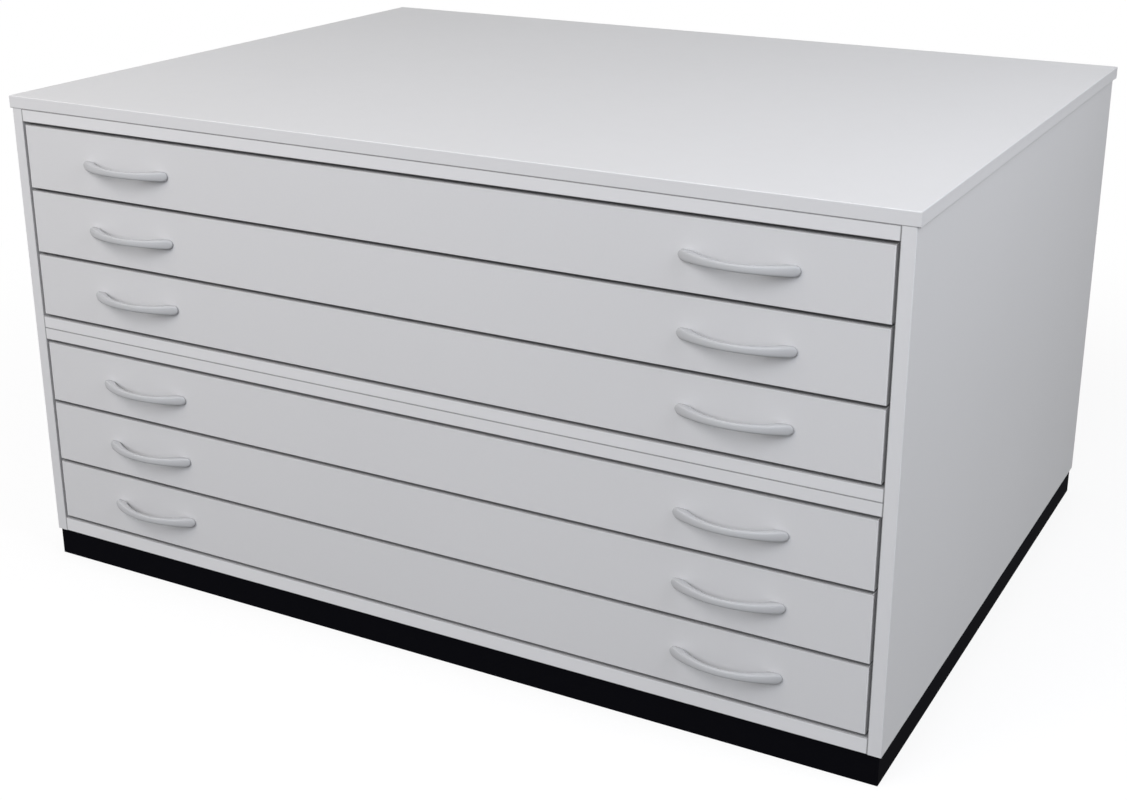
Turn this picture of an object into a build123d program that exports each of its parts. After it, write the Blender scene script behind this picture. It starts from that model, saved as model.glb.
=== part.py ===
from build123d import *
import os

# A low plan chest for flat sheets: two bays of three shallow drawers in a faced-board carcass on a
# black plinth. Millimetres, +Z up, front towards -Y, +X to the right. The origin is on the floor,
# midway across the width and midway between the handles' fronts and the back of the top.

# Boards
board = 18.0  # faced chipboard of the carcass and the drawer fronts
base_board = 22.0  # the thicker board that carries the chest
back_board = 8.0
box_board = 15.0  # drawer sides and ends
bottom_board = 8.0
edging_radius = 1.0  # rounding of the edging strips
top_edging_radius = 1.5

# Carcass
top_width = 1340.0
top_depth = 995.0
chest_height = 720.0
side_overhang = 4.0  # of the top past each side panel
back_overhang = 8.0
rail_depth = 100.0
rebate_clearance = 0.5  # round the back panel in its rebates

# Plinth
plinth_height = 42.0
plinth_inset = 3.0

# Drawers
drawers_per_bay = 3
front_gap = 4.0  # the dark line round every drawer front
box_depth = 925.0
box_lift = 10.0  # of the box above the lower edge of its front
box_drop = 12.0  # of the box below the upper edge of its front
bottom_lift = 8.0  # of the drawer bottom above the lower edge of its box
groove_depth = 7.0
groove_clearance = 0.5

# Telescopic runners, one pair to a drawer
runner_width = 12.7  # between the side panel and the drawer box
runner_height = 45.0
runner_length = 900.0
runner_setback = 3.0  # of the runners behind the drawer front
runner_steel = 1.2
runner_bend = 1.5  # legs of the flat across each of the steel's bends, at mid thickness
runner_lip = 4.0  # turned edge that holds the balls in the cabinet rail
box_play = 0.7  # between the cabinet rail's lips and the drawer box
ball_diameter = 4.0
ball_play = 0.1  # between a ball and each of its two races
cage_steel = 0.5
cage_length = 330.0
cage_end_margin = 60.0  # from a cage to the nearer end of the middle rail
running_gap = 0.3

# Bow handles
handle_pitch = 128.0  # between the two fixing screws
handle_end_reach = 12.0  # past each screw
handle_projection = 26.0
handle_spacing = 921.0  # between the middles of a drawer's two handles
bow_thickness = 5.0
foot_length = 18.0  # of each flat end, which takes its screw and lies on the drawer front
foot_thickness = 2.6
handle_end_height = 13.0
handle_waist_height = 9.4
handle_edge_bevel = 1.2

# Places that follow from the sizes
carcass_width = top_width - 2 * side_overhang
carcass_depth = top_depth - back_overhang
bay_width = carcass_width - 2 * board
bay_height = (chest_height - plinth_height - base_board - 4 * board) / 2
front_height = (bay_height - front_gap) / drawers_per_bay - front_gap
box_height = front_height - box_lift - box_drop
front_y = (handle_projection - top_depth) / 2
back_y = front_y + carcass_depth
back_panel_y = back_y - back_board
base_top_z = plinth_height + base_board
lower_bay_top_z = base_top_z + bay_height
shelf_z = lower_bay_top_z + board
upper_bay_z = shelf_z + board
upper_bay_top_z = upper_bay_z + bay_height
top_panel_z = upper_bay_top_z + board
box_width = bay_width - 2 * runner_width
box_front_y = front_y + board
runner_y = box_front_y + runner_setback
front_pitch = front_height + front_gap

# Places in a runner's section: distances from the side panel, and heights from the runner's middle
race_gap = ball_diameter + 2 * ball_play
cabinet_rail_tip = runner_width - box_play
outer_cage_web = runner_steel + running_gap
middle_rail_web = outer_cage_web + cage_steel + running_gap
middle_rail_tip = runner_width - runner_steel - running_gap
inner_cage_web = middle_rail_web + runner_steel + running_gap
drawer_rail_tip = inner_cage_web + cage_steel + running_gap
cage_tip = middle_rail_tip - runner_steel
middle_rail_half = runner_height / 2 - runner_steel - race_gap
drawer_rail_half = middle_rail_half - runner_steel - race_gap
outer_cage_half = middle_rail_half + (race_gap + cage_steel) / 2
inner_cage_half = drawer_rail_half + (race_gap + cage_steel) / 2


def board_between(x, y, z):
    """A flat board that fills the box between the low and high values given for each axis."""
    size = (x[1] - x[0], y[1] - y[0], z[1] - z[0])
    return Pos(x[0], y[0], z[0]) * Box(*size, align=(Align.MIN, Align.MIN, Align.MIN))


def edged(panel, radius, side):
    """Rounds the long edges round one face of a board, as its edging strips are."""
    return fillet(panel.faces().sort_by(side)[-1].edges(), radius)


def mirrored(solids):
    """The same solids again on the other side of the chest."""
    return [mirror(solid, about=Plane.YZ) for solid in solids]


def save(node, *solids):
    """Writes one piece, or one group of like pieces, under its node's name."""
    piece = solids[0] if len(solids) == 1 else Compound(children=list(solids))
    piece.label = node
    export_step(piece, f"parts/{node}.step")


# Carcass


def top_panel():
    panel = board_between(
        (-top_width / 2, top_width / 2),
        (front_y, front_y + top_depth),
        (top_panel_z, top_panel_z + board),
    )
    panel = edged(panel, top_edging_radius, Axis.Z)
    return fillet(panel.faces().sort_by(Axis.Z)[0].edges(), edging_radius)


def right_side():
    """A side panel, with the rebate that takes the edge of the back panel."""
    inner_x, outer_x = bay_width / 2, carcass_width / 2
    panel = board_between((inner_x, outer_x), (front_y, back_y), (plinth_height, top_panel_z))
    panel = fillet(panel.faces().sort_by(Axis.Y)[0].edges().filter_by(Axis.Z), edging_radius)
    rebate = board_between(
        (inner_x, inner_x + back_board + rebate_clearance),
        (back_panel_y, back_y),
        (plinth_height, top_panel_z),
    )
    return panel - rebate


def back_panel():
    half_width = bay_width / 2 + back_board
    return board_between((-half_width, half_width), (back_panel_y, back_y), (plinth_height, top_panel_z))


def cross_board(z, thickness=board, y=(front_y, back_panel_y)):
    """A board between the two side panels, with its lower face at height z."""
    panel = board_between((-bay_width / 2, bay_width / 2), y, (z, z + thickness))
    if y[0] > front_y:
        return panel
    return fillet(panel.faces().sort_by(Axis.Y)[0].edges().filter_by(Axis.X), edging_radius)


def write_carcass():
    side = right_side()
    front_rail_y = (front_y, front_y + rail_depth)
    back_rail_y = (back_panel_y - rail_depth, back_panel_y)
    save("top_panel", top_panel())
    save("right_side", side)
    save("left_side", *mirrored([side]))
    save("back_panel", back_panel())
    save("base_panel", cross_board(plinth_height, base_board))
    save("middle_shelf", cross_board(shelf_z))
    save("middle_rail", cross_board(lower_bay_top_z, y=front_rail_y))
    save("top_front_rail", cross_board(upper_bay_top_z, y=front_rail_y))
    save("top_back_rail", cross_board(upper_bay_top_z, y=back_rail_y))


def write_plinth():
    """A frame of four boards and a middle bearer, set in a little under the carcass."""
    half_width = carcass_width / 2 - plinth_inset
    y = (front_y + plinth_inset, back_y - plinth_inset)
    inner_y = (y[0] + board, y[1] - board)
    z = (0, plinth_height)
    side = board_between((half_width - board, half_width), inner_y, z)
    front = board_between((-half_width, half_width), (y[0], inner_y[0]), z)
    save("plinth_front", fillet(front.edges().filter_by(Axis.Z).group_by(Axis.Y)[0], edging_radius))
    save("plinth_back", board_between((-half_width, half_width), (inner_y[1], y[1]), z))
    save("plinth_right", side)
    save("plinth_left", *mirrored([side]))
    save("plinth_bearer", board_between((-board / 2, board / 2), inner_y, z))


# Runners, drawn for the right side of the chest


def channel(web, tip, half_height, steel, z, y, lip=0.0):
    """A bent steel channel from y[0] to y[1], given by its web's outer face, its flanges' tips and any lips."""
    inward = 1 if tip > web else -1
    web_x, flange_z = web + inward * steel / 2, half_height - steel / 2
    upper_half = [(tip, flange_z), (web_x, flange_z)]
    if lip:
        lip_x = tip - inward * steel / 2
        upper_half = [(lip_x, half_height - lip), (lip_x, flange_z), (web_x, flange_z)]
    points = upper_half + [(x, -height) for x, height in reversed(upper_half)]
    path = Polyline(*points).wire()
    path = path.chamfer_2d(runner_bend, runner_bend, path.vertices()[1:-1])
    section_plane = Plane(origin=(bay_width / 2, y[1], z), x_dir=(-1, 0, 0), z_dir=(0, -1, 0))
    return extrude(section_plane * trace(path, steel), y[1] - y[0], dir=(0, -1, 0))


def cabinet_rail(z):
    y = (runner_y, runner_y + runner_length)
    return channel(0, cabinet_rail_tip, runner_height / 2, runner_steel, z, y, runner_lip)


def drawer_rail(z):
    y = (runner_y, runner_y + runner_length)
    return channel(runner_width, drawer_rail_tip, drawer_rail_half, runner_steel, z, y)


def middle_rail_set(z):
    """The middle rail with the two cages that space the balls on its outside and on its inside."""
    y = (runner_y, runner_y + runner_length)
    back_cage_y = (y[1] - cage_end_margin - cage_length, y[1] - cage_end_margin)
    front_cage_y = (y[0] + cage_end_margin, y[0] + cage_end_margin + cage_length)
    return [
        channel(middle_rail_web, middle_rail_tip, middle_rail_half, runner_steel, z, y),
        channel(outer_cage_web, cage_tip, outer_cage_half, cage_steel, z, back_cage_y),
        channel(inner_cage_web, cage_tip, inner_cage_half, cage_steel, z, front_cage_y),
    ]


# Drawers


def bow_handle():
    """A waisted bow that thickens into a flat foot at each end, in front of the drawer's screws."""
    half = handle_pitch / 2 + handle_end_reach
    foot_x = half - foot_length
    crown, inner_crown = -handle_projection, bow_thickness - handle_projection
    bow = make_face(
        [
            ThreePointArc((-half, -foot_thickness), (0, crown), (half, -foot_thickness)),
            Polyline((half, -foot_thickness), (half, 0), (foot_x, 0)),
            ThreePointArc((foot_x, 0), (0, inner_crown), (-foot_x, 0)),
            Polyline((-foot_x, 0), (-half, 0), (-half, -foot_thickness)),
        ]
    )
    end_radius = handle_end_height / 2
    waist = handle_waist_height / 2
    end_x = half - end_radius
    outline = make_face(
        [
            ThreePointArc((-end_x, end_radius), (0, waist), (end_x, end_radius)),
            ThreePointArc((end_x, end_radius), (half, 0), (end_x, -end_radius)),
            ThreePointArc((end_x, -end_radius), (0, -waist), (-end_x, -end_radius)),
            ThreePointArc((-end_x, -end_radius), (-half, 0), (-end_x, end_radius)),
        ]
    )
    strip = extrude(bow, end_radius, both=True) & extrude(Plane.XZ * outline, handle_projection)
    crown_face = strip.faces().sort_by(Axis.Y)[0]
    return chamfer(crown_face.edges(), handle_edge_bevel)


def drawer_front(z):
    half_width = bay_width / 2 - front_gap
    panel = board_between((-half_width, half_width), (front_y, box_front_y), (z, z + front_height))
    return edged(panel, edging_radius, -Axis.Y)


def bottom_groove(z):
    """The space of the groove that runs round the inside of a drawer box for its bottom."""
    half_width = box_width / 2 - box_board + groove_depth
    y = (box_front_y + box_board - groove_depth, box_front_y + box_depth - box_board + groove_depth)
    bottom_z = z + bottom_lift
    return board_between((-half_width, half_width), y, (bottom_z, bottom_z + bottom_board))


def box_side(z):
    half_width = box_width / 2
    y = (box_front_y, box_front_y + box_depth)
    panel = board_between((half_width - box_board, half_width), y, (z, z + box_height))
    return panel - bottom_groove(z)


def box_ends(z):
    """The inner front, which the drawer front is screwed to, and the back, both between the sides."""
    x = (box_board - box_width / 2, box_width / 2 - box_board)
    ends_y = (box_front_y, box_front_y + box_depth - box_board)
    boards = [board_between(x, (y, y + box_board), (z, z + box_height)) for y in ends_y]
    return [end - bottom_groove(z) for end in boards]


def box_bottom(z):
    groove = bottom_groove(z).bounding_box()
    return board_between(
        (groove.min.X + groove_clearance, groove.max.X - groove_clearance),
        (groove.min.Y + groove_clearance, groove.max.Y - groove_clearance),
        (groove.min.Z, groove.max.Z),
    )


def front_heights():
    """The height of each drawer front's lower edge, from the top drawer down."""
    return [
        bay_z + front_gap + place * front_pitch
        for bay_z in (upper_bay_z, base_top_z)
        for place in reversed(range(drawers_per_bay))
    ]


def write_drawers():
    handle = bow_handle()
    cabinet_rails = []
    for number, front_z in enumerate(front_heights(), start=1):
        drawer = f"drawer_{number}"
        box_z = front_z + box_lift
        runner_z = box_z + box_height / 2
        handle_z = front_z + front_height / 2
        side, middles, rail = box_side(box_z), middle_rail_set(runner_z), drawer_rail(runner_z)
        cabinet_rails.append(cabinet_rail(runner_z))
        handles = [Pos(x, front_y, handle_z) * handle for x in (-handle_spacing / 2, handle_spacing / 2)]
        save(f"{drawer}_front", drawer_front(front_z))
        save(f"{drawer}_sides", side, *mirrored([side]))
        save(f"{drawer}_ends", *box_ends(box_z))
        save(f"{drawer}_bottom", box_bottom(box_z))
        save(f"{drawer}_handles", *handles)
        save(f"{drawer}_rails", rail, *mirrored([rail]))
        save(f"runner_{number}_middles", *middles, *mirrored(middles))
    save("cabinet_rails_right", *cabinet_rails)
    save("cabinet_rails_left", *mirrored(cabinet_rails))


os.makedirs("parts", exist_ok=True)
write_carcass()
write_plinth()
write_drawers()
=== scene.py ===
# %% [markdown]
# # A plan chest with six shallow drawers
#
# The chest is a floor-standing cabinet for large sheets of paper. Pale grey faced board makes the
# carcass and the drawer fronts, a black plinth carries it, and each drawer has two satin bow handles
# and runs on a pair of telescopic steel runners.
#
# The boards and channels come ready as fixed solids, in metres, standing on the floor at z = 0 with
# the drawer fronts towards -Y. This lesson gives them their finishes, and makes the pieces that need
# a softer shape or are too small to draw as solids: the bow handles, the runners' balls and the
# screws. Last come the floor, the lamps and the camera.

# %% Load the chest
import math

import bpy
from mathutils import Matrix, Vector


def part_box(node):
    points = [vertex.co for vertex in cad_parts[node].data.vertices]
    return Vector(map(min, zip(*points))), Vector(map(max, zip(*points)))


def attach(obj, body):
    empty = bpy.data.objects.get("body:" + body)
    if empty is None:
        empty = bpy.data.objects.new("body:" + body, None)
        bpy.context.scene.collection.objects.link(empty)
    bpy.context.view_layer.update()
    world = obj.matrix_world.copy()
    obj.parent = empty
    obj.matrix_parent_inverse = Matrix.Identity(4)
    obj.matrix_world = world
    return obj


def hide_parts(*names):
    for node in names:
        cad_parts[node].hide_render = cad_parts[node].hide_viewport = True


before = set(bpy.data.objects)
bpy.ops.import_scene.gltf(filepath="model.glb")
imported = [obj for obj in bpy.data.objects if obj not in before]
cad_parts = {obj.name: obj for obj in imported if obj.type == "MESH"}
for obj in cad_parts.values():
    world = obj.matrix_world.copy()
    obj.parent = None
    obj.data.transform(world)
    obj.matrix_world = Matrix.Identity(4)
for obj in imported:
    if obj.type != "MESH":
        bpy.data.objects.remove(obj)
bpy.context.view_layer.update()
drawer_numbers = range(1, 7)

# %% [markdown]
# ## The camera
#
# The chest is seen from its right front corner, a little above its top. A camera's place could be
# set by eye, but here it was worked out from twenty corners of the boards, which fixes the lens as
# well. The three rows below are where the camera's right, down and forward point in the room. The
# small shift stands for a picture that was trimmed unevenly round the chest.

# %% Place the camera
eye = Vector((1.1741, -2.1868, 1.1850))
right = Vector((0.8803, 0.47442, 0.00132))
down = Vector((0.1568, -0.28833, -0.94461))
forward = Vector((-0.44776, 0.83174, -0.3282))

camera_data = bpy.data.cameras.new("camera")
camera_data.lens = 53.71
camera_data.sensor_width = 36.0
camera_data.shift_x = -0.0165
camera_data.shift_y = -0.0582
camera = bpy.data.objects.new("camera", camera_data)
camera.matrix_world = Matrix.Translation(eye) @ Matrix((right, -down, -forward)).transposed().to_4x4()
bpy.context.scene.collection.objects.link(camera)
bpy.context.scene.camera = camera
print("camera stands", round(eye.length, 3), "m from the middle of the floor under the chest")

# %% [markdown]
# ## Helpers for node trees
#
# Finishes and repeated pieces are both made of node trees. Every tree could be wired line by line,
# but most lines would say the same two things: add a node, then fill its inputs. `add` does both,
# and an input is either a plain value or another node's output. `maths` adds one sum, so that a
# formula reads nearly as it would on paper. `ramp`, `noise` and `looks_towards` make the masks that
# finishes are mixed with. `new_tree` makes a tree with named inputs and outputs, and `use_group` puts
# one tree inside another.

# %% Helpers for node trees
SOCKETS = {
    "value": "NodeSocketFloat",
    "count": "NodeSocketInt",
    "vector": "NodeSocketVector",
    "shape": "NodeSocketGeometry",
}
UP, ACROSS, ALONG = (0, 0, 1), (1, 0, 0), (0, 1, 0)  # the room's three ways, ALONG from front to back


def add(tree, kind, inputs=None, **settings):
    """Adds a node, with its settings and with inputs given by name or by number."""
    node = tree.nodes.new(kind)
    for name, value in settings.items():
        setattr(node, name, value)
    for key, value in (inputs or {}).items():
        if isinstance(value, bpy.types.NodeSocket):
            tree.links.new(value, node.inputs[key])
        else:
            node.inputs[key].default_value = value
    return node


def maths(tree, operation, *values):
    """The result of one sum on numbers or outputs."""
    return add(tree, "ShaderNodeMath", dict(enumerate(values)), operation=operation).outputs[0]


def vectors(tree, operation, *values):
    """The result of one sum on vectors."""
    node = add(tree, "ShaderNodeVectorMath", dict(enumerate(values)), operation=operation)
    return node.outputs["Value" if operation in ("DOT_PRODUCT", "LENGTH") else "Vector"]


def squared(tree, value):
    """A value times itself."""
    return maths(tree, "MULTIPLY", value, value)


def combined(tree, x=0.0, y=0.0, z=0.0):
    """A vector from its three parts."""
    return add(tree, "ShaderNodeCombineXYZ", {0: x, 1: y, 2: z}).outputs[0]


def ramp(tree, value, low, high, start=0.0, end=1.0, **settings):
    """Goes from start to end while the value goes from low to high, and is level outside them."""
    inputs = {"Value": value, "From Min": low, "From Max": high, "To Min": start, "To Max": end}
    return add(tree, "ShaderNodeMapRange", inputs, **settings).outputs[0]


def noise(tree, place, scale, detail):
    """Soft uneven patches, between nought and one."""
    inputs = {"Vector": place, "Scale": scale, "Detail": detail}
    return add(tree, "ShaderNodeTexNoise", inputs).outputs["Fac"]


def looks_towards(tree, way):
    """How nearly a surface looks one way: one if it faces that way, minus one if it faces back."""
    normal = add(tree, "ShaderNodeNewGeometry").outputs["Normal"]
    return vectors(tree, "DOT_PRODUCT", normal, way)


def new_tree(name, kind, inputs, outputs):
    """An empty tree, its input node's outputs by name, and its output node."""
    tree = bpy.data.node_groups.new(name, kind)
    for label, (socket, default) in inputs.items():
        made = tree.interface.new_socket(label, in_out="INPUT", socket_type=SOCKETS[socket])
        if default is not None:
            made.default_value = default
    for label, socket in outputs.items():
        tree.interface.new_socket(label, in_out="OUTPUT", socket_type=SOCKETS[socket])
    return tree, tree.nodes.new("NodeGroupInput").outputs, tree.nodes.new("NodeGroupOutput")


def close_tree(tree, group_output, results):
    """Joins the results to the tree's outputs."""
    for label, result in results.items():
        tree.links.new(result, group_output.inputs[label])
    print(f"{tree.name}: {len(tree.nodes)} nodes")
    return tree


def use_group(tree, group, inputs):
    """The outputs of a tree that is used as one node of another."""
    return add(tree, "ShaderNodeGroup", inputs, node_tree=group).outputs


# %% [markdown]
# ## Edging strips
#
# A faced board is chipboard between two thin sheets, and its edges are covered with a plastic strip
# 2 mm thick. On the real chest the strips show as slightly lighter, smoother lines round every
# board, with a hairline joint where the strip meets the sheet. They could be modelled as separate
# strips, but these are flush with the board and two pixels wide, so a mask in the finish does it.
#
# The group measures how far a point is from each pair of a board's faces. The smallest of the three
# distances is nearly nothing, because the point lies on that face, so the middle one is the distance
# to the nearest edge of the board.

# %% Group: edging strip
ON_FACE = 0.0003  # a point nearer to a face than this lies on it
HALF_HAIRLINE = 0.00015

tree, given, result = new_tree(
    "edging strip",
    "ShaderNodeTree",
    {
        "Place": ("vector", None),
        "Low corner": ("vector", None),
        "High corner": ("vector", None),
        "Through the board": ("vector", UP),
        "Strip": ("value", 0.002),
    },
    {"Strip": "value", "Joint": "value", "Edge distance": "value"},
)
inside = vectors(
    tree,
    "MINIMUM",
    vectors(tree, "SUBTRACT", given["Place"], given["Low corner"]),
    vectors(tree, "SUBTRACT", given["High corner"], given["Place"]),
)
split = add(tree, "ShaderNodeSeparateXYZ", {0: inside}).outputs
smallest = maths(tree, "MINIMUM", split[0], maths(tree, "MINIMUM", split[1], split[2]))
largest = maths(tree, "MAXIMUM", split[0], maths(tree, "MAXIMUM", split[1], split[2]))
total = maths(tree, "ADD", split[0], maths(tree, "ADD", split[1], split[2]))
edge = maths(tree, "SUBTRACT", maths(tree, "SUBTRACT", total, smallest), largest)
depth = vectors(tree, "DOT_PRODUCT", inside, given["Through the board"])
on_sheet = maths(tree, "LESS_THAN", depth, ON_FACE)
past_strip = maths(tree, "GREATER_THAN", edge, given["Strip"])
at_joint = maths(tree, "COMPARE", edge, given["Strip"], HALF_HAIRLINE)
edging_strip = close_tree(
    tree,
    result,
    {
        "Strip": maths(tree, "SUBTRACT", 1.0, maths(tree, "MULTIPLY", on_sheet, past_strip)),
        "Joint": maths(tree, "MULTIPLY", on_sheet, at_joint),
        "Edge distance": edge,
    },
)

# %% [markdown]
# ## Painted shade where boards meet
#
# The arrises of a board are rounded by half a millimetre, so two boards that meet have a fine dark valley
# between them, and the gaps round the drawers look wider than they are. A bevel on every arris would make
# it, for one pixel of shade. Here a mask paints that shade into the boards' colour instead, as a dark line.
# It knows which way the line is crossed and how far from the middle of the chest it lies, and it stays on
# faces that look forwards, where the boards end flush.

# %% Group: painted shade between boards
FORWARDS = -0.3  # a surface that looks less than this towards the back looks forwards

tree, given, result = new_tree(
    "painted shade between boards",
    "ShaderNodeTree",
    {
        "Place": ("vector", None),
        "Across": ("vector", UP),
        "Distance": ("value", 0.7),
        "Half width": ("value", 0.0014),
    },
    {"Line": "value"},
)
from_middle = maths(tree, "ABSOLUTE", vectors(tree, "DOT_PRODUCT", given["Place"], given["Across"]))
from_line = maths(tree, "ABSOLUTE", maths(tree, "SUBTRACT", from_middle, given["Distance"]))
valley = ramp(tree, from_line, 0.0, given["Half width"], 1.0, 0.0)
looks_forward = maths(tree, "LESS_THAN", looks_towards(tree, ALONG), FORWARDS)
painted_shade_between_boards = close_tree(tree, result, {"Line": maths(tree, "MULTIPLY", valley, looks_forward)})

# %% [markdown]
# ## The sheet's own texture
#
# Melamine sheet is pressed against a plate with a fine pearl texture, so it has a satin sheen that
# breaks up close to, and large sheets are never quite one tone. Two noises make this: one far finer
# than a pixel, for gloss and relief, and one as broad as a hand, for tone. A photograph of real
# sheet would repeat and would fix its scale, so the noises are made in three dimensions instead.

# %% Group: pearl texture
tree, given, result = new_tree(
    "pearl texture",
    "ShaderNodeTree",
    {
        "Place": ("vector", None),
        "Pearl size": ("value", 0.0012),
        "Pearl depth": ("value", 0.05),
        "Cloud size": ("value", 0.35),
        "Cloud depth": ("value", 0.03),
    },
    {"Tone": "value", "Pearl": "value"},
)
pearl = noise(tree, given["Place"], maths(tree, "DIVIDE", 1.0, given["Pearl size"]), detail=3.0)
clouds = noise(tree, given["Place"], maths(tree, "DIVIDE", 1.0, given["Cloud size"]), detail=2.0)
cloudy = maths(tree, "MULTIPLY_ADD", maths(tree, "SUBTRACT", clouds, 0.5), given["Cloud depth"], 1.0)
grainy = maths(tree, "MULTIPLY_ADD", maths(tree, "SUBTRACT", pearl, 0.5), given["Pearl depth"], cloudy)
pearl_texture = close_tree(tree, result, {"Tone": grainy, "Pearl": pearl})

# %% [markdown]
# ## Rubbed edges and dust
#
# Handled edges go a little shiny and dull in patches, and dust lies on the upper side of things that
# are rarely wiped, such as the plinth and the drawer bottoms. Both are slight here, because the
# chest is new. The rub is a mask that fades within a millimetre or two of an edge and is broken up
# by noise. The dust is a mask of soft patches on faces that look up.

# %% Groups: rubbed edge and dust
DUST_ON_SIDES = 0.2  # as a share of the dust on level faces

tree, given, result = new_tree(
    "rubbed edge",
    "ShaderNodeTree",
    {"Place": ("vector", None), "Edge distance": ("value", 1.0), "Reach": ("value", 0.0015)},
    {"Rub": "value"},
)
near_edge = ramp(tree, given["Edge distance"], 0.0, given["Reach"], 1.0, 0.0)
worn = ramp(tree, noise(tree, given["Place"], scale=14.0, detail=4.0), 0.45, 0.7)
rubbed_edge = close_tree(tree, result, {"Rub": maths(tree, "MULTIPLY", near_edge, worn)})

tree, given, result = new_tree(
    "dust",
    "ShaderNodeTree",
    {"Place": ("vector", None), "Amount": ("value", 0.1)},
    {"Dust": "value"},
)
looks_up = ramp(tree, looks_towards(tree, UP), 0.2, 0.9)
drifts = ramp(tree, noise(tree, given["Place"], scale=45.0, detail=6.0), 0.4, 0.75)
settled = maths(tree, "MULTIPLY_ADD", looks_up, 1.0 - DUST_ON_SIDES, DUST_ON_SIDES)
lying = maths(tree, "MULTIPLY", settled, drifts)
dust = close_tree(tree, result, {"Dust": maths(tree, "MULTIPLY", lying, given["Amount"])})

# %% [markdown]
# ## Drawn metal
#
# Steel strip that has been rolled into a runner, and a handle that has been brushed, both carry fine
# lines along their length. A wave texture would give even stripes. A noise that is squeezed across
# the piece and stretched along it gives lines of uneven length and depth, as a brush leaves.

# %% Group: drawn metal
tree, given, result = new_tree(
    "drawn metal",
    "ShaderNodeTree",
    {
        "Place": ("vector", None),
        "Lines a metre": ("vector", (1500, 12, 1500)),
        "Depth": ("value", 0.12),
    },
    {"Tone": "value", "Lines": "value"},
)
stretched = vectors(tree, "MULTIPLY", given["Place"], given["Lines a metre"])
lines = noise(tree, stretched, scale=1.0, detail=3.0)
stains = noise(tree, given["Place"], scale=22.0, detail=3.0)
uneven = maths(tree, "ADD", maths(tree, "MULTIPLY", lines, 0.7), maths(tree, "MULTIPLY", stains, 0.3))
tone = maths(tree, "MULTIPLY_ADD", maths(tree, "SUBTRACT", uneven, 0.5), given["Depth"], 1.0)
drawn_metal = close_tree(tree, result, {"Tone": tone, "Lines": lines})

# %% [markdown]
# ## Board finishes
#
# All the boards are finished in the same way and differ only in colour, gloss and relief, so one
# function makes them. Each board gets a material of its own, because the edging group needs to know
# where that board's corners are. A board whose edge is hidden in a joint has no strip there: its
# corner is moved outwards, so that the mask never reaches it.
#
# The pale grey is written as it should look in plain light. The strips are a touch lighter, which is
# what draws the thin pale lines beside the dark gaps round the drawers.

# %% Board finishes
FAR = 0.05  # moves a corner away from an edge that has no strip
GRIME = (0.45, 0.44, 0.42, 1)
DUST_GREY = (0.5, 0.49, 0.47, 1)
HAIRLINE_TONE = 0.55  # of the joint beside a strip, as a share of the board's colour
# the colour of the painted shade in gaps and where boards meet, as a share of the board's colour
PAINTED_SHADE_TONE = 0.12  # of the deepest gap, likewise
ARRIS = (0.0003, 0.0016)  # the shade of a gap begins and is full this far from the board's edge
GAP_REACH = 0.018  # the shade ends this far from it, at the thickness of a drawer front
PEARL_SPREAD = 0.16  # how much the pearl varies the roughness
DULLED_BY_DUST, POLISHED_BY_HANDS = 0.3, -0.12  # what full dust or rub adds to the roughness


def times(colour, share):
    """A colour made lighter or darker, and no lighter than white."""
    return (*[min(part * share, 1.0) for part in colour], 1)


def tinted(tree, colour, tone):
    """A plain colour times a tone."""
    inputs = {0: 1.0, 6: times(colour, 1.0), 7: tone}
    return add(tree, "ShaderNodeMix", inputs, data_type="RGBA", blend_type="MULTIPLY").outputs[2]


def laid_over(tree, mask, under, over, strength=1.0):
    """One colour laid over another where a mask says."""
    share = mask if strength == 1.0 else maths(tree, "MULTIPLY", mask, strength)
    return add(tree, "ShaderNodeMix", {0: share, 6: under, 7: over}, data_type="RGBA").outputs[2]


def painted_gap_shade_mask(tree, edge_distance):
    """Masks the part of a board's level faces that lies in a gap above or below it, where shade is painted.
    """
    level = maths(tree, "GREATER_THAN", maths(tree, "ABSOLUTE", looks_towards(tree, UP)), 0.9)
    reached = maths(tree, "LESS_THAN", edge_distance, GAP_REACH)
    shade = maths(tree, "MULTIPLY", ramp(tree, edge_distance, *ARRIS), level)
    return maths(tree, "MULTIPLY", shade, reached)


def new_material(name):
    """A new material with its tree, its plain shader and each point's place on the chest."""
    material = bpy.data.materials.new(name)
    material.use_nodes = True
    tree = material.node_tree
    place = add(tree, "ShaderNodeTexCoord").outputs["Object"]
    return material, tree, tree.nodes["Principled BSDF"], place


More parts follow.
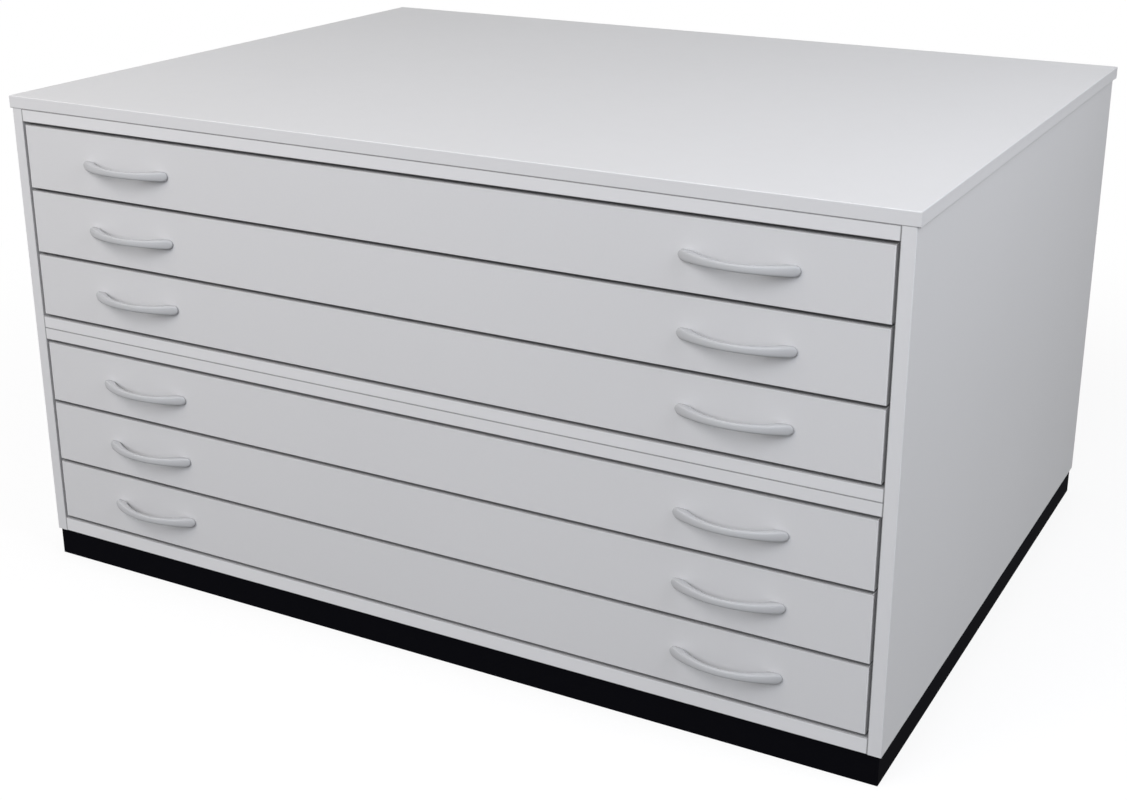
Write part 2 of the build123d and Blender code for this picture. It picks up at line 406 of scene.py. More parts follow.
def board_finish(
    name,
    colour,
    low,
    high,
    through,
    edging=1.04,
    gloss=0.5,
    sheen=0.3,
    relief=0.00003,
    dusty=0.03,
    painted_gap_shade=0.0,
    lines=(),
):
    """Faced board with strips round it. low and high are its corners and through its thin way.
    edging is how much lighter the strips are. shaded is how much shade is painted on what lies in a gap
    above or below the board, and lines says where it meets other boards, each drawn as a painted line of
    shade."""
    material, tree, shader, place = new_material(name)
    board = {"Place": place, "Low corner": low, "High corner": high, "Through the board": through}
    strips = use_group(tree, edging_strip, board)
    edge_distance = strips["Edge distance"]
    pearl = use_group(tree, pearl_texture, {"Place": place})
    rub = use_group(tree, rubbed_edge, {"Place": place, "Edge distance": edge_distance})["Rub"]
    lying = use_group(tree, dust, {"Place": place, "Amount": dusty})["Dust"]

    sheet = tinted(tree, colour, pearl["Tone"])
    shown = laid_over(tree, strips["Strip"], sheet, times(colour, edging))
    shown = laid_over(tree, strips["Joint"], shown, times(colour, HAIRLINE_TONE), strength=0.35)
    shown = laid_over(tree, rub, shown, GRIME, strength=0.12)
    shown = laid_over(tree, lying, shown, DUST_GREY)
    dark = times(colour, PAINTED_SHADE_TONE)
    # painted shade on the level faces that lie in a gap
    if painted_gap_shade:
        shown = laid_over(tree, painted_gap_shade_mask(tree, edge_distance), shown, dark, strength=painted_gap_shade)
    # each line is painted shade in the valley where this board meets another
    for across, distance in lines:
        meeting = {"Place": place, "Across": across, "Distance": distance}
        line = use_group(tree, painted_shade_between_boards, meeting)["Line"]
        shown = laid_over(tree, line, shown, dark, strength=0.85)
    tree.links.new(shown, shader.inputs["Base Color"])

    satin = maths(tree, "MULTIPLY_ADD", pearl["Pearl"], PEARL_SPREAD, gloss - PEARL_SPREAD / 2)
    duller = maths(tree, "MULTIPLY_ADD", lying, DULLED_BY_DUST, satin)
    rough = maths(tree, "MULTIPLY_ADD", rub, POLISHED_BY_HANDS, duller)
    tree.links.new(rough, shader.inputs["Roughness"])
    bump = add(tree, "ShaderNodeBump", {"Height": pearl["Pearl"], "Strength": 1.0, "Distance": relief})
    tree.links.new(bump.outputs[0], shader.inputs["Normal"])
    shader.inputs["Specular IOR Level"].default_value = sheen
    return material


def dress(node, material):
    """Puts a finish on one of the ready solids."""
    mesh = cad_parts[node].data
    mesh.materials.clear()
    mesh.materials.append(material)


def corners(node, hidden=""):
    """A board's corners, moved outwards on the hidden sides, such as "x" or "x+y"."""
    low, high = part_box(node)
    for side in hidden.split():
        axis = "xyz".index(side[0])
        if side[1:] in ("", "-"):
            low[axis] -= FAR
        if side[1:] in ("", "+"):
            high[axis] += FAR
    return low, high


# %% [markdown]
# ## The carcass, the fronts and the plinth
#
# The top shows strips on all four sides. The side panels show one at the front and the back, and the
# shelves and rails only at the front, since their ends stand against the sides. The drawer fronts have
# strips all round. Shade is painted on their level edges, and on the tops of the base and the middle shelf
# near the front, so that the gaps between them look nearly black although they are only as deep as the
# board. Painted lines of shade also mark where boards meet and run along the upper and lower arrises of the
# fronts, shelves and rails. The black plinth is the same kind of board in another colour, quite matt, with
# a little dust from the floor.

# %% Dress the carcass, the fronts and the plinth
PALE_GREY = (0.640, 0.640, 0.645)
BLACK = (0.0045, 0.0045, 0.006)

at_sides = (ACROSS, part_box("right_side")[0].x)
under_top = (UP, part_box("top_panel")[0].z)


def edges_up_and_down(node):
    """Where a board's lower and upper arrises lie."""
    low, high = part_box(node)
    return [(UP, low.z), (UP, high.z)]


# The base and the middle shelf get painted shade where they lie in a gap under a drawer.
faced = {
    "top_panel": (UP, "", {"edging": 1.03, "lines": [under_top]}),
    "right_side": (ACROSS, "z", {"edging": 1.06, "lines": [at_sides]}),
    "left_side": (ACROSS, "z", {"lines": [at_sides]}),
    "base_panel": (UP, "x y+", {"edging": 1.13, "painted_gap_shade": 0.5, "lines": [at_sides]}),
    "middle_shelf": (UP, "x y+", {"edging": 1.09, "painted_gap_shade": 0.5, "lines": [at_sides]}),
    "middle_rail": (UP, "x y+", {"edging": 1.06, "lines": [at_sides]}),
    "top_front_rail": (UP, "x y+", {"edging": 1.09, "lines": [at_sides]}),
    "top_back_rail": (UP, "x y", {}),
}
# painted lines of shade along the upper and lower arrises widen the gaps round the drawers
for node in ("base_panel", "middle_shelf", "middle_rail", "top_front_rail"):
    faced[node][2]["lines"] += edges_up_and_down(node)
for number in drawer_numbers:
    node = f"drawer_{number}_front"
    # The fronts' level edges get painted shade, so that the gaps between them look dark.
    faced[node] = (ALONG, "", {"edging": 1.1, "painted_gap_shade": 0.6, "lines": edges_up_and_down(node)})
for node, (through, hidden, more) in faced.items():
    low, high = corners(node, hidden)
    dress(node, board_finish(f"grey_board_{node}", PALE_GREY, low, high, through, **more))

plinth = {
    "plinth_front": (ALONG, "x z"),
    "plinth_back": (ALONG, "x z"),
    "plinth_right": (ACROSS, "y z"),
    "plinth_left": (ACROSS, "y z"),
    "plinth_bearer": (ACROSS, "y z"),
}
matt = {"edging": 1.0, "gloss": 0.6, "sheen": 0.002, "relief": 0.00005, "dusty": 0.003}
for node, (through, hidden) in plinth.items():
    low, high = corners(node, hidden)
    dress(node, board_finish(f"black_board_{node}", BLACK, low, high, through, **matt))
print("faced boards:", len(faced), "- plinth boards:", len(plinth))

# %% [markdown]
# ## The drawer boxes and the back
#
# The boxes are white faced board with a strip along the top, and the bottoms are thin white
# lacquered board, which is glossier and has no strips. The back is painted fibreboard. Their
# colours are close to each other, so it is gloss, relief and dust that tell them apart.

# %% Dress the drawer boxes and the back
BOX_WHITE = (0.680, 0.680, 0.680)
BOTTOM_WHITE = (0.700, 0.700, 0.690)
BACK_GREY = (0.660, 0.660, 0.665)

for number in drawer_numbers:
    for part, through, hidden in (("sides", ACROSS, "y z-"), ("ends", ALONG, "x z-")):
        node = f"drawer_{number}_{part}"
        low, high = corners(node, hidden)
        dress(node, board_finish(f"white_board_{node}", BOX_WHITE, low, high, through, gloss=0.38))
    node = f"drawer_{number}_bottom"
    low, high = corners(node, "x y")
    smooth = {"gloss": 0.4, "sheen": 0.2, "relief": 0.00001, "dusty": 0.06}
    dress(node, board_finish(f"lacquered_board_{node}", BOTTOM_WHITE, low, high, UP, **smooth))
low, high = corners("back_panel", "x z")
painted = {"gloss": 0.6, "relief": 0.00006, "dusty": 0.05}
dress("back_panel", board_finish("painted_back", BACK_GREY, low, high, ALONG, **painted))
print("boxes dressed:", len(drawer_numbers))

# %% [markdown]
# ## Steel and nickel
#
# The runners are rolled from steel strip and plated with bright zinc. A bare metal has no colour but that
# of what it reflects, so its finish is wholly metallic. The handles are cast, blasted and plated with a
# matt satin nickel. They show no bright reflections and their undersides are dark, as silver paint would
# be, so their finish is metallic only in part and scatters the rest. A real room that a handle reflects is
# dimmer beside, below and behind it than in front and above, so its ends, its underside and the inside of
# its bow look darker than its face. This room is evenly white, so that dimmer reflection is painted into
# the handle's colour as shade, by a mask that knows which way the surface looks. The lines of the drawn
# metal group vary the gloss more than the colour.

# %% Metal finishes
ZINC = (0.60, 0.61, 0.62)
NICKEL = (0.47, 0.475, 0.485)
BRIGHT_STEEL = (0.66, 0.66, 0.66)
TOWARDS_LIGHT = (0, -0.7, 0.7)  # forwards and up
# the colour of the painted shade where a handle would reflect a dimmer room
PAINTED_DIM_REFLECTION = (0.01, 0.01, 0.01, 1)


def metal_finish(name, colour, lines, gloss, spread, relief=0.00001, metallic=1.0, painted_dimming=0.0):
    """A metal with lines along it. lines is how many there are to a metre each way, and dimmed is how much
    darker the metal is painted where it turns to the sides, backwards or down: painted shade for a dimmer
    reflection."""
    material, tree, shader, place = new_material(name)
    drawn = use_group(tree, drawn_metal, {"Place": place, "Lines a metre": lines})
    lying = use_group(tree, dust, {"Place": place, "Amount": 0.04})["Dust"]
    plated = tinted(tree, colour, drawn["Tone"])
    if painted_dimming:
        # painted shade: darker where the surface looks away from the light
        away = ramp(tree, looks_towards(tree, TOWARDS_LIGHT), 0.1, 0.65, 1.0, 0.0)
        plated = laid_over(tree, away, plated, PAINTED_DIM_REFLECTION, strength=painted_dimming)
    tree.links.new(laid_over(tree, lying, plated, GRIME), shader.inputs["Base Color"])
    rough = maths(tree, "MULTIPLY_ADD", drawn["Lines"], spread, gloss - spread / 2)
    tree.links.new(rough, shader.inputs["Roughness"])
    bump = add(tree, "ShaderNodeBump", {"Height": drawn["Lines"], "Strength": 1.0, "Distance": relief})
    tree.links.new(bump.outputs[0], shader.inputs["Normal"])
    shader.inputs["Metallic"].default_value = metallic
    return material


zinc_strip = metal_finish("zinc_strip", ZINC, (900, 9, 900), gloss=0.32, spread=0.16)
zinc_screw = metal_finish("zinc_screw", ZINC, (400, 400, 400), gloss=0.3, spread=0.1)
ball_steel = metal_finish(
    "ball_steel", BRIGHT_STEEL, (300, 300, 300), gloss=0.14, spread=0.06, relief=0.000002
)
# the handles get painted shade on their ends, their underside and the inside of the bow
satin_nickel = metal_finish(
    "satin_nickel", NICKEL, (25, 1600, 1600), gloss=0.75, spread=0.14, metallic=0.25, painted_dimming=0.25
)

RUNNER_ENDINGS = ("_rails", "_middles", "_rails_right", "_rails_left")
runner_nodes = [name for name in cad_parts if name.endswith(RUNNER_ENDINGS)]
for node in runner_nodes:
    dress(node, zinc_strip)
print("runner groups dressed:", len(runner_nodes))

# %% [markdown]
# ## From a node tree to a piece
#
# The handles, the balls and the screws repeat, so Geometry Nodes trees make them. `grow` hangs a
# tree on an object, sets the tree's named inputs, and keeps the plain mesh that comes out. The
# object that it starts from may hold points, which say where the copies go. The volume inside the
# faces is printed: above nought, the faces look outwards.

# %% Helpers that turn a tree into a piece


def points_mesh(name, places, facing=None):
    """Loose points, with the way each one faces where that matters."""
    mesh = bpy.data.meshes.new(name)
    mesh.from_pydata([tuple(place) for place in places], [], [])
    if facing:
        attribute = mesh.attributes.new("facing", "FLOAT_VECTOR", "POINT")
        attribute.data.foreach_set("vector", [value for way in facing for value in way])
    return mesh


def grow(name, tree, start, body, slot, **sizes):
    """Runs a tree on a starting mesh and returns its result as a plain piece that rides on a body."""
    piece = bpy.data.objects.new(name, start)
    bpy.context.scene.collection.objects.link(piece)
    modifier = piece.modifiers.new(tree.name, "NODES")
    modifier.node_group = tree
    for socket in tree.interface.items_tree:
        if socket.in_out == "INPUT" and socket.name in sizes:
            modifier[socket.identifier] = sizes[socket.name]
    ready = piece.evaluated_get(bpy.context.evaluated_depsgraph_get())
    mesh = bpy.data.meshes.new_from_object(ready)
    piece.modifiers.remove(modifier)
    mesh.name = name
    piece.data = mesh
    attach(piece, body)
    return piece


def volume_inside(mesh):
    """Cubic centimetres inside a closed mesh."""
    mesh.calc_loop_triangles()
    total = 0.0
    for triangle in mesh.loop_triangles:
        a, b, c = (mesh.vertices[i].co for i in triangle.vertices)
        total += a.dot(b.cross(c)) / 6
    return round(total * 1e6, 2)


# %% [markdown]
# ## The bow handles
#
# Each handle is a cast bow, 128 mm between its screws. Seen from above it is an arc that springs from
# two flat feet. Seen from the front it is waisted: tall at its rounded ends and slimmer in the
# middle. It could be modelled by pulling a box about, but every section of it follows the same rule,
# so the tree says the rule. A flat grid is rolled up: its length becomes the handle's length, and its
# width goes round the section.
#
# - The outside of the bow is one arc, and the inside is a tighter one that stops at the feet.
# - The height narrows towards the waist, and runs out in a half circle at each end.
# - The section is a rounded bar, with a soft crown on the side that the hand sees.

# %% Tree: bow handles
tree, given, result = new_tree(
    "bow handles",
    "GeometryNodeTree",
    {
        "Geometry": ("shape", None),
        "Half length": ("value", 0.076),
        "Projection": ("value", 0.026),
        "Bow thickness": ("value", 0.005),
        "Foot length": ("value", 0.018),
        "Foot thickness": ("value", 0.0026),
        "End height": ("value", 0.013),
        "Waist height": ("value", 0.0094),
        "Crown": ("value", 0.0022),
        "Back rounding": ("value", 0.0006),
    },
    {"Geometry": "shape"},
)


def arc_depth(tree, across, reach, rise):
    """How far an arc of that reach and rise falls away from its middle at a distance across."""
    squares = maths(tree, "ADD", squared(tree, reach), squared(tree, rise))
    radius = maths(tree, "DIVIDE", squares, maths(tree, "MULTIPLY", rise, 2.0))
    drop = maths(tree, "SQRT", maths(tree, "SUBTRACT", squared(tree, radius), squared(tree, across)))
    return maths(tree, "SUBTRACT", radius, drop)


def softened(tree, value, power):
    """The same value with its sign kept and its size raised to a power."""
    size = maths(tree, "POWER", maths(tree, "ABSOLUTE", value), power)
    return maths(tree, "MULTIPLY", size, maths(tree, "SIGN", value))


SOFTNESS = 0.8  # of the section: one makes a plain oval, and less makes it squarer
WELD = 0.000002  # joins the points where the rolled grid meets itself

grid = add(tree, "GeometryNodeMeshGrid", {"Size X": 2.0, "Size Y": 1.0, "Vertices X": 49, "Vertices Y": 25})
position = add(tree, "GeometryNodeInputPosition").outputs[0]
spot = add(tree, "ShaderNodeSeparateXYZ", {0: position}).outputs
half = given["Half length"]
across = maths(tree, "MULTIPLY", half, maths(tree, "SINE", maths(tree, "MULTIPLY", spot[0], math.pi / 2)))
from_middle = maths(tree, "ABSOLUTE", across)
turn = maths(tree, "MULTIPLY_ADD", spot[1], 2 * math.pi, math.pi / 2)

outer_rise = maths(tree, "SUBTRACT", given["Projection"], given["Foot thickness"])
outer = maths(tree, "SUBTRACT", given["Projection"], arc_depth(tree, across, half, outer_rise))
inner_rise = maths(tree, "SUBTRACT", given["Projection"], given["Bow thickness"])
inner_reach = maths(tree, "SUBTRACT", half, given["Foot length"])
inner = maths(tree, "SUBTRACT", inner_rise, arc_depth(tree, across, inner_reach, inner_rise))
inner = maths(tree, "MAXIMUM", inner, 0.0)

end = maths(tree, "MULTIPLY", given["End height"], 0.5)
waist = maths(tree, "MULTIPLY", given["Waist height"], 0.5)
straight = maths(tree, "SUBTRACT", half, end)
share = maths(tree, "DIVIDE", maths(tree, "MINIMUM", from_middle, straight), straight)
gain = maths(tree, "MULTIPLY", maths(tree, "SUBTRACT", end, waist), squared(tree, share))
beyond = maths(tree, "MAXIMUM", maths(tree, "SUBTRACT", from_middle, straight), 0.0)
left_over = maths(tree, "SUBTRACT", 1.0, squared(tree, maths(tree, "DIVIDE", beyond, end)))
rounding = maths(tree, "SQRT", maths(tree, "MAXIMUM", left_over, 0.0))
height = maths(tree, "MULTIPLY", maths(tree, "ADD", waist, gain), rounding)

cosine, sine = maths(tree, "COSINE", turn), maths(tree, "SINE", turn)
half_thick = maths(tree, "MULTIPLY", maths(tree, "SUBTRACT", outer, inner), 0.5)
fall = maths(tree, "SUBTRACT", 1.0, maths(tree, "POWER", maths(tree, "ABSOLUTE", sine), SOFTNESS))
crown_fall = maths(tree, "MULTIPLY", maths(tree, "MINIMUM", given["Crown"], half_thick), fall)
back_fall = maths(tree, "MULTIPLY", maths(tree, "MINIMUM", given["Back rounding"], half_thick), fall)
in_front = maths(tree, "GREATER_THAN", sine, 0.0)
front_side = maths(tree, "MULTIPLY", in_front, maths(tree, "SUBTRACT", outer, crown_fall))
behind = maths(tree, "SUBTRACT", 1.0, in_front)
back_side = maths(tree, "MULTIPLY", behind, maths(tree, "ADD", inner, back_fall))
forward_by = maths(tree, "ADD", front_side, back_side)

upwards = maths(tree, "MULTIPLY", height, softened(tree, cosine, SOFTNESS))
moved = combined(tree, across, maths(tree, "MULTIPLY", forward_by, -1.0), upwards)
rolled = add(tree, "GeometryNodeSetPosition", {"Geometry": grid.outputs[0], "Position": moved}).outputs[0]
closed = add(tree, "GeometryNodeMergeByDistance", {"Geometry": rolled, "Distance": WELD}).outputs[0]
smooth = add(tree, "GeometryNodeSetShadeSmooth", {0: closed}).outputs[0]
on_points = {"Points": given["Geometry"], "Instance": smooth}
copies = add(tree, "GeometryNodeInstanceOnPoints", on_points).outputs[0]
real = add(tree, "GeometryNodeRealizeInstances", {0: copies}).outputs[0]
plated = add(tree, "GeometryNodeSetMaterial", {0: real, "Material": satin_nickel}).outputs[0]
bow_handles = close_tree(tree, result, {"Geometry": plated})

# %% [markdown]
# Two points on each drawer front say where its handles go, and the feet stand on the face of the
# front. The new piece takes the place of the plain solid handles.

# %% Make the bow handles
HANDLE_SPACING = 0.921
front_faces = {}
for number in drawer_numbers:
    low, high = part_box(f"drawer_{number}_front")
    front_faces[number] = Vector((0, low.y, (low.z + high.z) / 2))
    places = [front_faces[number] + Vector((side * HANDLE_SPACING / 2, 0, 0)) for side in (-1, 1)]
    start = points_mesh("handle places", places)
    handles = grow(f"bow_handles_{number}", bow_handles, start, f"drawer_{number}", "handle_satin")
    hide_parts(f"drawer_{number}_handles")
print("a pair of handles:", len(handles.data.polygons), "faces,", volume_inside(handles.data), "cm3")

# %% [markdown]
# ## The balls of the runners
#
# Each runner has two cages of steel balls. A cage spaces an upper and a lower row, and the balls
# roll between the rails' flanges. They show only when a drawer is out, and there are hundreds, so
# each ball is a coarse sphere with smooth shading. One point marks the start of each row, the tree
# lays a line of points from it, and a ball goes on every point.

# %% Tree: ball rows
BALLS_IN_A_ROW = 15

tree, given, result = new_tree(
    "ball rows",
    "GeometryNodeTree",
    {
        "Geometry": ("shape", None),
        "Ball diameter": ("value", 0.004),
        "Ball pitch": ("value", 0.022),
        "Balls in a row": ("count", BALLS_IN_A_ROW),
    },
    {"Geometry": "shape"},
)
pitch = combined(tree, y=given["Ball pitch"])
row = add(tree, "GeometryNodeMeshLine", {"Count": given["Balls in a row"], "Offset": pitch}).outputs[0]
rows = add(tree, "GeometryNodeInstanceOnPoints", {"Points": given["Geometry"], "Instance": row}).outputs[0]
spots = add(tree, "GeometryNodeRealizeInstances", {0: rows}).outputs[0]
radius = maths(tree, "MULTIPLY", given["Ball diameter"], 0.5)
ball = add(tree, "GeometryNodeMeshUVSphere", {"Segments": 8, "Rings": 6, "Radius": radius}).outputs[0]
smooth = add(tree, "GeometryNodeSetShadeSmooth", {0: ball}).outputs[0]
balls = add(tree, "GeometryNodeInstanceOnPoints", {"Points": spots, "Instance": smooth}).outputs[0]
real = add(tree, "GeometryNodeRealizeInstances", {0: balls}).outputs[0]
polished = add(tree, "GeometryNodeSetMaterial", {0: real, "Material": ball_steel}).outputs[0]
ball_rows = close_tree(tree, result, {"Geometry": polished})

# %% [markdown]
# The rows stand where the cages do: the outer cage near the back of the middle rail and the inner
# cage near its front, each with a row above and a row below the middle of the runner.

# %% Make the balls
SIDE_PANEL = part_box("cabinet_rails_right")[1].x  # the runners' mounting face
RUNNER_RISE = 0.045  # the middle of a runner above its drawer front's lower edge
BALL_LANE = 0.006  # the balls' centres from the side panel
CAGES = ((0.0192, 0.0575), (0.0138, -0.3925))  # how far a row is from the middle, and where it starts

runner_heights = {n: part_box(f"drawer_{n}_front")[0].z + RUNNER_RISE for n in drawer_numbers}
for number, middle in runner_heights.items():
    starts = [
        (side * (SIDE_PANEL - BALL_LANE), start_y, middle + up * height)
        for side in (-1, 1)
        for height, start_y in CAGES
        for up in (-1, 1)
    ]
    balls = grow(
        f"runner_balls_{number}",
        ball_rows,
        points_mesh("ball row starts", starts),
        f"runner_{number}_middle",
        "runner_steel",
    )
ball_count = len(starts) * BALLS_IN_A_ROW
faces, volume = len(balls.data.polygons), volume_inside(balls.data)
print("balls to a drawer:", ball_count, "-", faces, "faces,", volume, "cm3")

# %% [markdown]
# ## The screws
#
# Screws hold the cabinet rails to the side panels, the drawer rails to the boxes, the handles
# through the drawer fronts, and the back panel to the boards behind it. A head is a low cone with a
# cross cut into it. The cut is made once, before the head is copied, and the copies are turned by
# different amounts, because nobody lines screws up. The seed is fixed, so they stay as they are.

# %% Tree: screw heads
TOP_SHARE = 0.68  # of the cone's width
CUT_LENGTH, CUT_WIDTH = 0.5, 0.12  # of the head's diameter
CUT_DEPTH = 1.2  # of the head's height, half of it in the air above

tree, given, result = new_tree(
    "screw heads",
    "GeometryNodeTree",
    {
        "Geometry": ("shape", None),
        "Head diameter": ("value", 0.007),
        "Head height": ("value", 0.0016),
        "Seed": ("count", 7),
    },
    {"Geometry": "shape"},
)
bottom = maths(tree, "MULTIPLY", given["Head diameter"], 0.5)
top = maths(tree, "MULTIPLY", bottom, TOP_SHARE)
cone = add(
    tree,
    "GeometryNodeMeshCone",
    {"Vertices": 20, "Radius Top": top, "Radius Bottom": bottom, "Depth": given["Head height"]},
).outputs["Mesh"]
long_cut = maths(tree, "MULTIPLY", given["Head diameter"], CUT_LENGTH)
short_cut = maths(tree, "MULTIPLY", given["Head diameter"], CUT_WIDTH)
cut_depth = maths(tree, "MULTIPLY", given["Head height"], CUT_DEPTH)
lift = combined(tree, z=given["Head height"])
cuts = []
for length, width in ((long_cut, short_cut), (short_cut, long_cut)):
    bar = combined(tree, length, width, cut_depth)
    cube = add(tree, "GeometryNodeMeshCube", {"Size": bar}).outputs["Mesh"]
    cuts.append(add(tree, "GeometryNodeTransform", {"Geometry": cube, "Translation": lift}).outputs[0])
crossed = add(tree, "GeometryNodeMeshBoolean", {0: cone}, operation="DIFFERENCE")
for cut in cuts:
    tree.links.new(cut, crossed.inputs["Mesh 2"])
stored = add(tree, "GeometryNodeInputNamedAttribute", {"Name": "facing"}, data_type="FLOAT_VECTOR")
way = stored.outputs["Attribute"]
aligned = add(tree, "FunctionNodeAlignRotationToVector", {"Vector": way}, axis="Z").outputs[0]
any_turn = {2: 0.0, 3: 2 * math.pi, "Seed": given["Seed"]}
turned = add(tree, "FunctionNodeRandomValue", any_turn, data_type="FLOAT").outputs[1]
turn = {"Rotation": aligned, "Rotate By": combined(tree, z=turned)}
spun = add(tree, "FunctionNodeRotateRotation", turn, rotation_space="LOCAL").outputs[0]
head = {"Points": given["Geometry"], "Instance": crossed.outputs["Mesh"], "Rotation": spun}
copies = add(tree, "GeometryNodeInstanceOnPoints", head).outputs[0]
real = add(tree, "GeometryNodeRealizeInstances", {0: copies}).outputs[0]
plated = add(tree, "GeometryNodeSetMaterial", {0: real, "Material": zinc_screw}).outputs[0]
screw_heads = close_tree(tree, result, {"Geometry": plated})

# %% [markdown]
# The cabinet rails' screws are flush, because the middle rail slides past them. The drawer rails'
# screws stand inside the channel, and the handles' screws stand on the inner front, inside the box.

# %% Make the screws
STEEL = 0.0012
RUNNER_WIDTH = 0.0127
SCREW_SPOTS = (-0.42, -0.26, -0.06, 0.14, 0.30, 0.41)  # along the runners
HANDLE_PITCH = 0.128
BOX_BOARD = 0.015
IN_THE_REBATE = 0.652  # the middle of a side panel's rebate, from the middle of the chest
REBATE_HEIGHTS = (0.10, 0.24, 0.38, 0.52, 0.66)
BOARD_HEIGHTS = (0.053, 0.383, 0.693)  # the base, the shelf and the top back rail
BACK_COLUMNS = (-0.5, -0.25, 0.0, 0.25, 0.5)


def screws(name, body, places, facing, diameter, height):
    """A screw head on each place, as one piece."""
    start = points_mesh("screw places", places, facing)
    sizes = {"Head diameter": diameter, "Head height": height}
    return grow(name, screw_heads, start, body, "runner_steel", **sizes)


places, facing = [], []
for middle in runner_heights.values():
    for side in (-1, 1):
        for y in SCREW_SPOTS:
            places.append((side * (SIDE_PANEL - STEEL), y, middle))
            facing.append((-side, 0, 0))
screws("cabinet_rail_screws", "carcass", places, facing, diameter=0.008, height=0.0002)
rail_screw_count = len(places)

box_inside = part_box("drawer_1_ends")[0].y + BOX_BOARD
for number, middle in runner_heights.items():
    places, facing = [], []
    for side in (-1, 1):
        for y in SCREW_SPOTS[::2]:
            places.append((side * (SIDE_PANEL - RUNNER_WIDTH + STEEL), y, middle))
            facing.append((side, 0, 0))
        for shift in (-1, 1):
            x = side * HANDLE_SPACING / 2 + shift * HANDLE_PITCH / 2
            places.append((x, box_inside, front_faces[number].z))
            facing.append((0, 1, 0))
    name = f"drawer_screws_{number}"
    screws(name, f"drawer_{number}", places, facing, diameter=0.007, height=0.0016)

back_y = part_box("back_panel")[1].y
edges = [(side * IN_THE_REBATE, z) for side in (-1, 1) for z in REBATE_HEIGHTS]
rows = [(x, z) for z in BOARD_HEIGHTS for x in BACK_COLUMNS]
places = [(x, back_y, z) for x, z in edges + rows]
facing = [ALONG] * len(places)
back_screws = screws("back_panel_screws", "carcass", places, facing, diameter=0.008, height=0.0012)
volume = volume_inside(back_screws.data)
print("rail screws:", rail_screw_count, "- back screws:", len(places), "-", volume, "cm3")

# %% [markdown]
# ## The floor
#
# The chest stands on a plain white floor without a horizon. A very bright lamp would bleach a floor
# white, but it would bleach the chest too. Instead the floor's own material looks after it: what the
# camera and the reflections see is nearly white, mixed with a little of the real lit floor near the
# chest, so that its soft shadow stays. The light that the floor sends back on to the chest comes from
# a plain pale grey.

# %% Make the floor
FLOOR_BOUNCE = 0.15
SHADOW_SHARE = 0.15
SHADOW_REACH = (0.9, 2.2)  # the lit floor begins to fade, and is gone, this far from the middle
reach = 14.0

floor_mesh = bpy.data.meshes.new("floor")
floor_corners = [(-reach, -reach, 0), (reach, -reach, 0), (reach, reach, 0), (-reach, reach, 0)]
floor_mesh.from_pydata(floor_corners, [], [(0, 1, 2, 3)])
floor = bpy.data.objects.new("floor", floor_mesh)
bpy.context.scene.collection.objects.link(floor)


def seen_directly(tree):
    """One for a ray from the camera, from glass or from gloss, and nought for the light that bounces."""
    paths = add(tree, "ShaderNodeLightPath").outputs
    gloss = maths(tree, "MAXIMUM", paths["Is Glossy Ray"], paths["Is Transmission Ray"])
    return maths(tree, "MAXIMUM", paths["Is Camera Ray"], gloss)


floor_material = bpy.data.materials.new("white_floor")
floor_material.use_nodes = True
tree = floor_material.node_tree
tree.nodes.remove(tree.nodes["Principled BSDF"])
output = tree.nodes["Material Output"]
bounce = add(tree, "ShaderNodeBsdfDiffuse", {"Color": (FLOOR_BOUNCE,) * 3 + (1,)}).outputs[0]
lit = add(tree, "ShaderNodeBsdfDiffuse", {"Color": (1, 1, 1, 1)}).outputs[0]
white = add(tree, "ShaderNodeEmission", {"Color": (1, 1, 1, 1), "Strength": 1.0}).outputs[0]
away = vectors(tree, "LENGTH", add(tree, "ShaderNodeTexCoord").outputs["Object"])
near = ramp(tree, away, *SHADOW_REACH, 1.0, 0.0, interpolation_type="SMOOTHSTEP")
share = maths(tree, "MULTIPLY", near, SHADOW_SHARE)
shown = add(tree, "ShaderNodeMixShader", {0: share, 1: white, 2: lit}).outputs[0]
whole = add(tree, "ShaderNodeMixShader", {0: seen_directly(tree), 1: bounce, 2: shown}).outputs[0]
tree.links.new(whole, output.inputs["Surface"])
floor_mesh.materials.append(floor_material)
print("floor:", 2 * reach, "m wide")

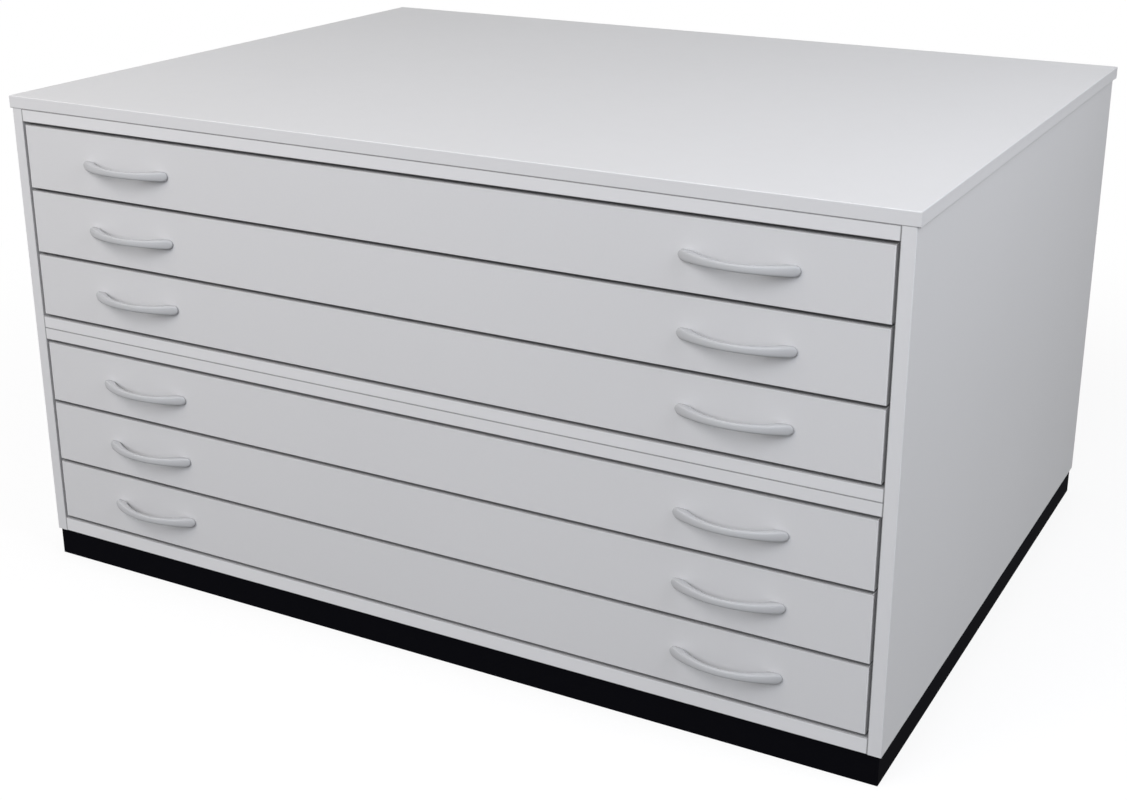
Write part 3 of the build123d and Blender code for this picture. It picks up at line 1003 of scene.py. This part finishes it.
# %% [markdown]
# ## The light
#
# The light is soft and comes from above: the top is the brightest, the drawer fronts darken evenly
# from the top one to the bottom one, and the right side is darker still. Four large lamps do this. A
# far one in front lights all the fronts alike, and a near one up on the left adds the fall from top
# to bottom, and is a little warmer, so that the lower drawers look cooler. One on the right lights
# the side, and one on the left evens out the top. The powers were found by lighting the chest with
# one lamp at a time and adding the pictures up in the shares that came nearest to the real tones.
# Two more stand low, one behind the chest and one to its left. They light the back and the left
# side, and because they are narrower than the chest and stay under the level of the top, they leave
# the other faces as they were.
#
# The room itself gives an even, weaker light from all round, so that no side is left black, and it
# is white where the camera sees it.

# %% Make the lamps and the room


def soft_lamp(name, place, target, size, watts, colour=(1, 1, 1), height=None):
    """A lamp as large as a window, which the camera doesn't see. size is its width."""
    data = bpy.data.lights.new(name, "AREA")
    data.shape = "RECTANGLE"
    data.size = size
    data.size_y = height or size
    data.energy = watts
    data.color = colour
    lamp = bpy.data.objects.new(name, data)
    lamp.location = place
    lamp.visible_camera = False
    lamp.rotation_euler = (Vector(target) - Vector(place)).to_track_quat("-Z", "Y").to_euler()
    bpy.context.scene.collection.objects.link(lamp)


COOL, WARM = (0.88, 0.92, 1.0), (1.0, 0.91, 0.82)
SLIGHTLY_COOL = (0.92, 0.94, 1.0)
soft_lamp("front_lamp", (0, -4.5, 3.2), target=(0, -0.4, 0.4), size=3.6, watts=150, colour=COOL)
soft_lamp("near_left_lamp", (-1.2, -2.2, 2.2), target=(0, -0.3, 0.5), size=2.0, watts=26, colour=WARM)
soft_lamp("right_lamp", (2.3, -0.6, 2.1), target=(0.66, 0, 0.5), size=1.6, watts=41, colour=SLIGHTLY_COOL)
soft_lamp("left_lamp", (-2.2, 0.2, 2.6), target=(0, 0, 0.6), size=2.0, watts=5)
soft_lamp("low_back_lamp", (0, 3.4, 0.38), target=(0, 0.5, 0.37), size=1.2, watts=34, height=0.5)
soft_lamp("low_left_lamp", (-3.2, 0, 0.38), target=(-0.66, 0, 0.37), size=0.8, watts=22, height=0.5)

ROOM_LIGHT = 0.28
world = bpy.data.worlds.new("room")
world.use_nodes = True
bpy.context.scene.world = world
tree = world.node_tree
strength = maths(tree, "MULTIPLY_ADD", seen_directly(tree), 1.0 - ROOM_LIGHT, ROOM_LIGHT)
tree.links.new(strength, tree.nodes["Background"].inputs["Strength"])
tree.nodes["Background"].inputs["Color"].default_value = (1, 1, 1, 1)
bpy.context.scene.view_settings.view_transform = "Standard"
print("room light:", ROOM_LIGHT)
